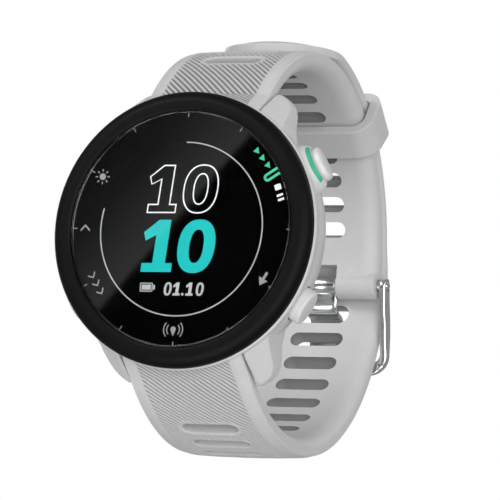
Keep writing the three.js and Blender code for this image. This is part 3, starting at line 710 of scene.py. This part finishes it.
def long_strap():
    tongue = (TONGUE_ANGLE, 4.5, 1.6)
    slots = [(a, *SLOT_HALF) for a in LONG_SLOTS] + [tongue]

    def nose(x, a):
        along = np.maximum(a - TIP_ANGLE, 0) * math.radians(1) * 31.3 / TIP_LENGTH
        reach = np.hypot(np.clip(x / 9.8, -1, 1), along)
        return -0.75 * smoothstep(0.62, 1.02, reach) ** 1.5 * smoothstep(0.0, 0.8, along)

    piece = band("long_strap_skin", long_outer, long_inner, -170, 128, slots,
                 lambda a: 0.5 - 0.22 * smoothstep(-2, 12, a), FINE, nose, long_ribs)
    ends = (loop_arc(36, -136, 110, 90) + loop_arc(24, 110, -124, 90)
            + [(0.2, -20.3), (-0.6, -18.5), (-1.4, -17.95), (-7.95, -17.95), (-9.2, -19.4)])
    piece = boolean(piece, [side_prism("ends", ends, 12)], "INTERSECT")
    turn = np.linspace(0, math.pi, 60)
    plan = [(9.9 * math.cos(t), TIP_LENGTH * math.sin(t) - 8) for t in turn] + [(-9.9, -60), (9.9, -60)]
    tip = prism("tip_tool", [(u, CY - v, CZ + r) for r in (-45, 45) for u, v in plan])
    front = box_tool(-12, 12, -30, CY + 8.1, -60, CZ)
    piece = boolean(piece, [boolean(tip, [front], "UNION")], "INTERSECT")
    tools = bar_room(-1) + [slot_tool(*tongue)] + [slot_tool(a, *SLOT_HALF) for a in LONG_SLOTS]
    piece = boolean(piece, tools)
    mark_painted_shade(piece, long_outer, slots, long_ribs)
    even_normals(dress(piece, ribbed_silicone_painted_shade, node="long_strap", degrees=38))


def keeper():
    def loop(offset, count=160):
        half_x, low, high = 10.2 + offset, 25.75 - offset, 31.6 + offset
        points = []
        for sx, corner, start in ((1, 1.0, 0), (-1, 1.0, 90), (-1, 2.0, 180), (1, 2.0, 270)):
            corner += offset * 0.95
            cx, cr = sx * (half_x - corner), high - corner if start < 180 else low + corner
            for t in np.linspace(start, start + 90, count // 4):
                a = math.radians(t)
                points.append((cx + corner * math.cos(a), cr + corner * math.sin(a)))
        return np.array(points)

    section = rounded([(-6.2, 0), (6.2, 0), (6.2, 1.72), (-6.2, 1.72)], 0.45, 6)
    rows = []
    for spread, offset in section:
        xr = loop(offset)
        rows.append(loop_point(xr[:, 0], xr[:, 1], 48.5 + spread))
    piece = tube("keeper_skin", np.array(rows), closed=True)
    dress(piece, silicone, "keeper", "keeper_loop")


# ---------------------------------------------------------------- case

def outline_prism(name, outline, y0, y1):
    """A closed (x, z) outline, extruded along Y."""
    return prism(name, [(x, y, z) for y in (y0, y1) for x, z in outline])


def lug_horn(sx, sz):
    plan = smooth_line([(11, 21.9), (12.3, 20.9), (13.2, 19.6), (13.6, 18), (13.9, 16.2), (14.6, 14.2)], 8)
    plan = [(9.95, 12), (9.95, 22.1)] + [tuple(p) for p in plan] + [(13.5, 12)]
    side = rounded([(-8.6, 10), (-8.5, 17.2), (-7.6, 18.5), (-2.1, 21.8), (-1.1, 22.1), (-0.4, 21.7),
                    (-0.2, 20.6), (-0.7, 18.4), (-2.4, 15), (-3.6, 10)], 0.8, 5)
    horn = outline_prism("horn", [(sx * x, sz * z) for x, z in plan], -11, 1.5)
    profile = side_prism("profile", [(y, sz * z) for y, z in side], 19)
    fall = lathe("fall", [(0, -9.5), (20.6, -9), (21.1, -7.9), (24.3, -2.1), (24.7, -1), (24.7, 1), (0, 1)],
                 180)
    return boolean(boolean(horn, [profile], "INTERSECT"), [fall], "INTERSECT")


BUTTON_Y = -5.85


def wall_matrix(degrees, r):
    """Axes: clock tangent, towards the dial, and out of the case wall."""
    c, s = math.cos(math.radians(degrees)), math.sin(math.radians(degrees))
    return basis((-s, 0, c), (0, -1, 0), (c, 0, s), (r * c, BUTTON_Y, r * s))


def oval(a, b, steps=72):
    turn = np.arange(steps) * 2 * math.pi / steps
    return [(a * math.cos(t), b * math.sin(t)) for t in turn]


def wall_tool(outline, degrees, r0, r1):
    place = wall_matrix(degrees, 0)
    return prism("wall_tool", [tuple(place @ Vector((a, b, r))) for r in (r0, r1) for a, b in outline])


# Each button's place round the case, in degrees, and the radius of its outer face.
BUTTONS = {
    "start": (28, 23.15), "back": (-30, 22.2), "light": (150, 21.9), "up": (180, 21.9), "down": (210, 21.9),
}
ACCENT = {"a": 3.15, "b": 2.4, "width": 0.36, "start": 214, "end": 330}


def accent_outline(margin):
    spread = margin * 12
    turn = np.radians(np.linspace(ACCENT["start"] - spread, ACCENT["end"] + spread, 40))
    a, b, w = ACCENT["a"], ACCENT["b"], ACCENT["width"]
    outer = [((a + w + margin) * math.cos(t), -(b + w + margin) * math.sin(t)) for t in turn]
    inner = [((a - margin) * math.cos(t), -(b - margin) * math.sin(t)) for t in turn[::-1]]
    return outer + inner


def start_pod(proud):
    """The swell of the case wall round the start button."""
    line = [(0, 19.5)] + [(half + proud, out + proud) for half, out in (
        (3.2, 19.5), (3.05, 20.9), (2.78, 21.7), (2.3, 22.2))]
    piece = lathe("pod", line + [(0, 22.2 + proud)], 96)
    c, s = math.cos(math.radians(BUTTONS["start"][0])), math.sin(math.radians(BUTTONS["start"][0]))
    place = basis((-1.3 * s, 0, 1.3 * c), (c, 0, s), (0, -1, 0), (0, BUTTON_Y * MM, 0))
    piece.data.transform(place)
    return boolean(outward(piece), [box_tool(10, 30, -11, BUTTON_Y, 0, 25)], "INTERSECT")


def case():
    body = lathe("case_skin", [
        (16.9, -9.3), (20.6, -9.3), (20.9, -9.12), (20.99, -8.8), (20.9, -8.3), (20.72, -7.6), (20.68, -5.6),
        (20.2, -3.2), (18.9, -1.6), (17.5, -1), (16.9, -1),
        (16.9, -2.1), (14, -2.1), (14, -3.3), (16.9, -3.3)], 240)
    body = boolean(body, [start_pod(0)] + [lug_horn(x, z) for x in (1, -1) for z in (1, -1)], "UNION")
    notches = [box_tool(-10.15, 10.15, -8.5, 1.6, z0, z1) for z0, z1 in ((17.6, 25), (-25, -17.6))]
    body = boolean(body, notches)
    body = modified(body, "REMESH", mode="VOXEL", voxel_size=0.17 * MM)
    body = modified(body, "SMOOTH", factor=0.5, iterations=5)
    tools = [wall_tool(oval(2.92, 2.02), angle, 18.6, 25) for angle, _ in BUTTONS.values()]
    tools += [wall_tool(oval(0.8, 0.8, 24), angle, 13, 19) for angle, _ in BUTTONS.values()]
    tools.append(wall_tool(accent_outline(0.08), BUTTONS["start"][0], 20.95, 24))
    tools += [rod_x("bar_hole", 0.6, -11.4, 11.4, BAR_Y, z, segments=24) for z in (BAR_Z, -BAR_Z)]
    dress(boolean(body, tools), shell, node="case_body")


def bezel():
    profile = rounded([
        (17.8, -10.35), (17.8, -11.35), (18.15, -11.6), (19.5, -11.6), (20.35, -11.15), (20.8, -10.45),
        (20.8, -9.45), (19.1, -9.45), (19.1, -10.35)], [0, 0, 0.3, 0.9, 0.9, 0.7, 0.12, 0, 0], 6)
    dress(lathe("bezel_skin", profile, 300), bezel_black, node="bezel_ring")


def lens():
    profile = rounded([(0, -11.35), (17.6, -11.35), (17.6, -10.55), (0, -10.55)], [0, 0.14, 0.08, 0], 4)
    dress(lathe("lens_skin", profile, 240), glass, node="lens")
    ring = rounded([(13.2, -10.4), (17.6, -10.4), (17.6, -10.1), (13.2, -10.1)], 0.05, 2)
    dress(lathe("dial_ring_skin", ring, 240), dial_black, node="dial_ring")
    panel = [(0, -10.4), (13.14, -10.4), (13.14, -9.9), (15.4, -9.9), (15.4, -9), (0, -9)]
    dress(lathe("display_skin", panel, 240), display_black, node="display_panel")


def buttons():
    for name, (angle, face) in BUTTONS.items():
        reach = face - 19.45
        cap = plate(f"button_{name}_skin", [oval(2.7, 1.8)], reach, 0.42, wall_matrix(angle, 19.45), 5)
        stem = wall_tool(oval(0.6, 0.6, 32), angle, 16.75, 19.7)
        cap = boolean(cap, [stem], "UNION")
        dress(cap, button_paint, f"button_{name}", f"button_{name}")
    inlay = wall_tool(accent_outline(0), BUTTONS["start"][0], 21.1, 24)
    accent = boolean(inlay, [start_pod(0.05)], "INTERSECT")
    accent.name = "accent_skin"
    accent = modified(accent, "REMESH", mode="VOXEL", voxel_size=0.06 * MM)
    accent = modified(accent, "SMOOTH", factor=0.5, iterations=3)
    dress(accent, green_inlay, node="start_accent")


# ---------------------------------------------------------------- case back

def back():
    profile = rounded([
        (8.45, -2), (12.5, -2), (12.5, -2.9), (13.15, -2.9), (13.15, -2), (16.75, -2), (16.75, -0.9),
        (13.3, -0.9), (12.6, -0.5), (8.45, -0.5)], [0, 0, 0, 0, 0, 0.05, 0.25, 0.3, 0.4, 0.15], 5)
    cover = lathe("back_cover_skin", profile, 240)
    tools = [box_tool(-11.85, -9.15, -3, 0, -3.45, 3.45)]
    for degrees in (45, 135, 225, 315):
        x, z = 15.3 * math.cos(math.radians(degrees)), 15.3 * math.sin(math.radians(degrees))
        tools.append(rod_y("shank", 0.55, -4, 0, x, z))
        tools.append(rod_y("head", 1.15, -1.5, 0, x, z))
    dress(boolean(cover, tools), shell, node="back_cover")
    glassy = rounded([(0, -1.95), (8.2, -1.95), (8.2, -0.5), (7.8, 0), (0, 0)], [0, 0, 0.1, 0.25, 0], 4)
    dress(lathe("sensor_window_skin", glassy, 240), window_dark, node="sensor_window")


def rod_y(name, r, y0, y1, x, z, segments=48):
    turn = np.arange(segments) * 2 * math.pi / segments
    rings = [np.stack([x + r * np.cos(turn), np.full(segments, y), z + r * np.sin(turn)], 1)
             for y in (y0, y1)]
    return tube(name, np.array(rings))


# ---------------------------------------------------------------- buckle

ALONG, OUT = np.array([0.095, -0.9955]), np.array([0.9955, 0.095])


def from_pin(x, along, out):
    """Points across the buckle, along it from its pin, and out from the wrist."""
    x, along, out = np.broadcast_arrays(x, along, out)
    y, z = PIN_Y + ALONG[0] * along + OUT[0] * out, PIN_Z + ALONG[1] * along + OUT[1] * out
    return np.stack([x, y, z], -1)


def buckle():
    # Centre line in (x, along), then how far out the middle is, how deep it is and how wide it is.
    half, reach, corner = 10.83, 13.45, 2.4
    right = [(half, -1.1), (half, 0), (half, 3), (half, 6), (half, 9), (half, reach - corner)]
    right += [(half - corner + corner * math.cos(t), reach - corner + corner * math.sin(t))
              for t in np.linspace(0.25, math.pi / 2, 7)]
    line = right + [(half - corner - 3, reach), (3, reach), (0, reach)]
    line = line + [(-x, s) for x, s in line[-2::-1]]
    path = smooth_line(line, 5)
    along = path[:, 1]
    out = np.interp(along, [-1.1, 0, 2.6, 5.4, 8, 10.5, 12.5, reach],
                    [0, 0, 0.25, 0.75, 1.0, 1.1, 0.97, 0.72])
    deep = np.interp(along, [-1.1, -0.7, 0, 2.6, 8, 10.5, 12.5, reach],
                     [1.2, 1.9, 2.4, 2.35, 2.3, 1.8, 1.4, 1.3])
    wide = np.interp(along, [-1.1, 11, reach], [1.35, 1.35, 1.9])
    tangent = np.gradient(path, axis=0)
    tangent /= np.linalg.norm(tangent, axis=1)[:, None]
    normal = np.stack([tangent[:, 1], -tangent[:, 0]], 1)
    turn = np.arange(28) * 2 * math.pi / 28
    cu = np.sign(np.cos(turn)) * np.abs(np.cos(turn)) ** 0.55
    cv = np.sign(np.sin(turn)) * np.abs(np.sin(turn)) ** 0.55
    across = path[:, None, :] + normal[:, None, :] * (wide[:, None] / 2 * cu)[:, :, None]
    height = out[:, None] + deep[:, None] / 2 * cv
    piece = tube("buckle_frame_skin", from_pin(across[:, :, 0], across[:, :, 1], height))
    piece = boolean(piece, [rod_x("hole", 0.85, -12, 12, PIN_Y, PIN_Z, segments=32)])
    dress(piece, steel, "buckle", "buckle_frame")
    pin = rod_x("buckle_pin_skin", 0.75, -11.6, 11.6, PIN_Y, PIN_Z, 0.2)
    dress(pin, steel, "buckle", "buckle_pin")


def tongue():
    # Centre line in (along, out).
    middle = smooth_line([(1.2, 0.2), (2.4, 0.1), (3.6, 0.25), (4.55, 0.95), (5.05, 2.2), (5.75, 2.95),
                          (6.7, 3.2), (8.5, 2.83), (11, 2.55), (14.2, 2.4)], 6)
    tangent = np.gradient(middle, axis=0)
    tangent /= np.linalg.norm(tangent, axis=1)[:, None]
    normal = np.stack([-tangent[:, 1], tangent[:, 0]], 1)
    far = np.linspace(0, 1, len(middle))
    half = 2.8 - 0.9 * smoothstep(0.93, 1.0, far)
    thick = 0.46 - 0.12 * smoothstep(0.93, 1.0, far)
    turn = np.arange(32) * 2 * math.pi / 32
    cu = np.sign(np.cos(turn)) * np.abs(np.cos(turn)) ** 0.3
    cv = np.sign(np.sin(turn)) * np.abs(np.sin(turn)) ** 0.7
    x = half[:, None] * cu
    offset = middle[:, None, :] + normal[:, None, :] * (thick[:, None] * cv)[:, :, None]
    blade = tube("tongue_skin", from_pin(x, offset[:, :, 0], offset[:, :, 1]))
    ring = rod_x("ring", 1.45, -2.8, 2.8, PIN_Y, PIN_Z, 0.2)
    blade = boolean(blade, [ring], "UNION")
    blade = boolean(blade, [rod_x("hole", 0.95, -12, 12, PIN_Y, PIN_Z, segments=40)])
    dress(blade, steel, "tongue", "buckle_tongue")


# ---------------------------------------------------------------- graphics on the display

FACE = -10.42
TICK_RADIUS = 17.2


def flat_mark(name, outlines, x, z, material, turn=0.0):
    """A thin lit shape on the display, its outlines drawn upright about (x, z)."""
    c, s = math.cos(math.radians(turn)), math.sin(math.radians(turn))
    drawn = [[(x + a * c - b * s, z + a * s + b * c) for a, b in line] for line in outlines]
    place = basis((1, 0, 0), (0, 0, 1), (0, -1, 0), (0, FACE, 0))
    dress(plate(name, drawn, 0.03, 0.002, place, 0), material)


def ring_outline(r0, r1, start, end, steps=120):
    turn = np.radians(np.linspace(start, end, steps))
    return [(r1 * math.cos(t), r1 * math.sin(t)) for t in turn] + [
        (r0 * math.cos(t), r0 * math.sin(t)) for t in turn[::-1]]


def rounded_rect(half_x, half_z, corner, steps=10):
    made = []
    for cx, cz, start in ((1, 1, 0), (-1, 1, 90), (-1, -1, 180), (1, -1, 270)):
        for t in np.radians(np.linspace(start, start + 90, steps)):
            x, z = corner * math.cos(t), corner * math.sin(t)
            made.append((cx * (half_x - corner) + x, cz * (half_z - corner) + z))
    return made


def slanted(points, slope=0.09):
    return [(a + slope * b, b) for a, b in points]


def egg(half_x, half_z, power=2.3, steps=72):
    turn = np.arange(steps) * 2 * math.pi / steps
    cx, cz = np.cos(turn), np.sin(turn)
    x = half_x * np.sign(cx) * np.abs(cx) ** (2 / power)
    z = half_z * np.sign(cz) * np.abs(cz) ** (2 / power)
    return list(zip(x.tolist(), z.tolist()))


def one(half_z, stem, grow=0.0):
    """The figure 1 with a flag and a foot. grow moves its outline outwards."""
    g, h = grow, half_z
    foot = 0.17 * 2 * h
    left, right = -0.95 * stem, 0.62 * stem
    points = [
        (right + g, h + g), (right + g, foot - h + g), (right + 0.75 * stem + g, foot - h + g),
        (right + 0.75 * stem + g, -h - g), (left - 0.85 * stem - g, -h - g),
        (left - 0.85 * stem - g, foot - h + g),
        (left + 0.25 * stem - g, foot - h + g), (left + 0.25 * stem - g, 0.42 * h - 1.1 * g),
        (left - 0.8 * stem - 0.4 * g, 0.2 * h - 0.9 * g), (left - 1.08 * stem - g, 0.52 * h + 0.3 * g),
        (left + 0.35 * stem - 0.4 * g, h + g)]
    return slanted(points)


def zero(half_x, half_z, stroke):
    return [slanted(egg(half_x, half_z)), slanted(egg(half_x - stroke, half_z - 0.82 * stroke))]


def hollow(outline_of, line):
    """An outline drawn as a line: its outer edge and its inner edge."""
    return [outline_of(line / 2), outline_of(-line / 2)]


def time_figures():
    line = 0.2
    flat_mark("hour_1", hollow(lambda g: one(3.55, 1.42, g), line), -2.78, 6.0, white_light)
    outer = [slanted(egg(2.72 + line / 2, 3.6 + line / 2)), slanted(egg(2.72 - line / 2, 3.6 - line / 2))]
    inner = [slanted(egg(1.12 + line / 2, 2.28 + line / 2)), slanted(egg(1.12 - line / 2, 2.28 - line / 2))]
    flat_mark("hour_0", outer, 2.78, 6.0, white_light)
    flat_mark("hour_0_eye", inner, 2.78, 6.0, white_light)
    flat_mark("minute_1", [one(3.92, 1.55)], -2.93, -2.58, teal_light)
    flat_mark("minute_0", zero(2.98, 4.02, 1.84), 2.7, -2.6, teal_light)


def date_line():
    for k, (shape, x) in enumerate((("0", -1.42), ("1", 0.12), (".", 0.98), ("1", 2.2), ("0", 3.74))):
        outlines = {"0": zero(0.62, 1.0, 0.36), "1": [one(0.98, 0.36)], ".": [egg(0.2, 0.2, 2)]}[shape]
        flat_mark(f"date_{k}", outlines, x, -9.02 if shape != "." else -9.8, grey_light)
    frame_line = [rounded_rect(1.02, 0.66, 0.12), rounded_rect(0.88, 0.52, 0.06)]
    flat_mark("battery_case", frame_line, -4.92, -8.8, grey_light)
    flat_mark("battery_level", [rounded_rect(0.74, 0.38, 0.05)], -4.92, -8.8, grey_light)
    flat_mark("battery_cap", [rounded_rect(0.13, 0.36, 0.06)], -3.68, -8.8, grey_light)


def chevron(size, line):
    return [[(-size, -line), (0, size - line), (size, -line), (size, line), (0, size + line), (-size, line)]]


def sign_marks():
    """Small pictures at the buttons: a lamp, up, down, go back, start and stop, printed and glowing with
    painted light.
    """
    corners = ((0.78, -0.1), (1.15, -0.07), (1.15, 0.07), (0.78, 0.1))
    rays = [[(r * math.cos(t + turn), r * math.sin(t + turn)) for r, turn in corners]
            for t in np.radians(np.arange(0, 360, 45))]
    flat_mark("sign_light", rays + [egg(0.5, 0.5, 2)], -13.35, 7.85, glowing_mark_print)
    flat_mark("sign_up", chevron(0.75, 0.16), -15.6, -0.3, glowing_mark_print)
    for k in (-1, 0, 1):
        x, z = -13.25 + 0.78 * k, -8.1 - 1.2 * k
        flat_mark(f"sign_down_{k + 1}", chevron(0.62, 0.14), x, z, glowing_mark_print, turn=213)
    hook = [(1.3, -0.5), (1.3, -0.1), (0.2, -0.1), (0.2, 0.5), (-0.9, -0.3), (0.2, -1.1), (0.2, -0.5)]
    flat_mark("sign_back", [hook], 13.4, -7.4, glowing_mark_print, turn=60)
    for k in range(3):
        x, z = 11.45 + 0.95 * k, 11.65 - 1.08 * k
        flat_mark(f"sign_start_{k}", [[(-0.42, -0.52), (0.48, 0), (-0.42, 0.52)]], x, z, mint_light, turn=-48)
    turn, back_turn = np.linspace(0.5, 1.5, 12) * math.pi, np.linspace(1.5, 0.5, 8) * math.pi
    outer = [(-0.7 + 0.62 * math.cos(t), 0.62 * math.sin(t)) for t in turn]
    inner = [(-0.7 + 0.22 * math.cos(t), 0.22 * math.sin(t)) for t in back_turn]
    loop_line = [(1.35, 0.62), *outer, (1.35, -0.62), (1.35, -0.22), *inner, (1.35, 0.22)]
    flat_mark("sign_press", [loop_line], 13.95, 8.1, mint_light, turn=33)
    for k, (wide, tall) in enumerate(((0.42, 0.5), (0.17, 0.5), (0.17, 0.5))):
        x, z = (15.1, 15.5, 15.72)[k], (6.3, 5.1, 4.45)[k]
        flat_mark(f"sign_stop_{k}", [rounded_rect(wide, tall, 0.05)], x, z, white_light, turn=-70)


def signal_mark():
    """A position pin between two pairs of signal arcs, below the display, printed and glowing with painted
    light.
    """
    turn = np.linspace(-0.45, math.pi + 0.45, 24)
    pin = [(0.0, -0.85)] + [(0.42 * math.cos(t), 0.15 + 0.42 * math.sin(t)) for t in turn]
    flat_mark("pin", [pin], -0.1, -15.2, glowing_mark_print)
    for side in (0, 180):
        for k, r in enumerate((0.95, 1.45)):
            arc = ring_outline(r, r + 0.15, side - 42, side + 42, 20)
            flat_mark(f"signal_{side}_{k}", [arc], -0.1, -15.1, glowing_mark_print)


def graphics():
    flat_mark("second_arc", [ring_outline(12.96, 13.13, -193.5, 90, 240)], 0, 0, grey_light)
    for k in range(12):
        if k == 1:
            continue  # the start sign stands here
        turn = math.radians(30 * k)
        x, z = TICK_RADIUS * math.cos(turn), TICK_RADIUS * math.sin(turn)
        # printed hour ticks, glowing with painted light
        flat_mark(f"tick_{k}", [rounded_rect(0.3, 0.06, 0.02, 3)], x, z, glowing_mark_print, turn=30 * k)
    time_figures()
    date_line()
    sign_marks()
    signal_mark()


# ---------------------------------------------------------------- floor

def floor():
    """A pale floor that fades into the white beyond it, and isn't there from below."""
    low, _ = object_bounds()
    size = 4.0
    z = low.z - 0.0002
    mesh = bpy.data.meshes.new("floor")
    corners = [(-size, -size, z), (size, -size, z), (size, size, z), (-size, size, z)]
    mesh.from_pydata(corners, [], [(0, 1, 2, 3)])
    piece = linked("floor", mesh)
    made = bpy.data.materials.new("floor")
    made.use_nodes = True
    tree = made.node_tree
    shader = tree.nodes["Principled BSDF"]
    shader.inputs["Base Color"].default_value = (0.86, 0.86, 0.86, 1)
    shader.inputs["Roughness"].default_value = 0.7
    out = tree.nodes["Material Output"]
    clear, mix = tree.nodes.new("ShaderNodeBsdfTransparent"), tree.nodes.new("ShaderNodeMixShader")
    facing, path = tree.nodes.new("ShaderNodeNewGeometry"), tree.nodes.new("ShaderNodeLightPath")
    unseen, hidden = tree.nodes.new("ShaderNodeMath"), tree.nodes.new("ShaderNodeMath")
    unseen.operation, hidden.operation = "SUBTRACT", "MAXIMUM"
    unseen.inputs[0].default_value = 1.0
    tree.links.new(path.outputs["Is Camera Ray"], unseen.inputs[1])
    tree.links.new(facing.outputs["Backfacing"], hidden.inputs[0])
    tree.links.new(unseen.outputs[0], hidden.inputs[1])
    where, reach = tree.nodes.new("ShaderNodeTexCoord"), tree.nodes.new("ShaderNodeVectorMath")
    away, far, blend = (tree.nodes.new(f"ShaderNode{kind}") for kind in ("MapRange", "Emission", "MixShader"))
    reach.operation, away.interpolation_type = "LENGTH", "SMOOTHSTEP"
    away.inputs["From Min"].default_value, away.inputs["From Max"].default_value = 0.03, 0.32
    tree.links.new(where.outputs["Object"], reach.inputs[0])
    tree.links.new(reach.outputs["Value"], away.inputs["Value"])
    tree.links.new(away.outputs["Result"], blend.inputs["Fac"])
    tree.links.new(shader.outputs["BSDF"], blend.inputs[1])
    tree.links.new(far.outputs["Emission"], blend.inputs[2])
    tree.links.new(hidden.outputs[0], mix.inputs["Fac"])
    tree.links.new(blend.outputs["Shader"], mix.inputs[1])
    tree.links.new(clear.outputs["BSDF"], mix.inputs[2])
    tree.links.new(mix.outputs["Shader"], out.inputs["Surface"])
    mesh.materials.append(made)
    piece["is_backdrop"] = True


camera()
world()
dress_frame()
case()
bezel()
lens()
buttons()
back()
short_strap()
long_strap()
keeper()
buckle()
tongue()
graphics()
floor()
reflected_card()
area_light("key", (-0.45, -0.75, 0.55), (0, 0.01, 0), 0.5, 4.1)
area_light("fill", (0.7, -0.35, 0.15), (0, 0.02, 0), 0.6, 1.6)
area_light("rim", (0.35, 0.6, 0.5), (0, 0.02, 0), 0.5, 0.8)
area_light("back", (-0.6, 0.7, 0.12), (0, 0.02, 0), 0.6, 2.4)
area_light("front", (0.4, -0.75, -0.1), (0, 0.02, 0), 0.6, 3.3)
area_light("low", (-0.1, -0.7, -0.55), (0, 0.02, 0), 0.6, 3.0)
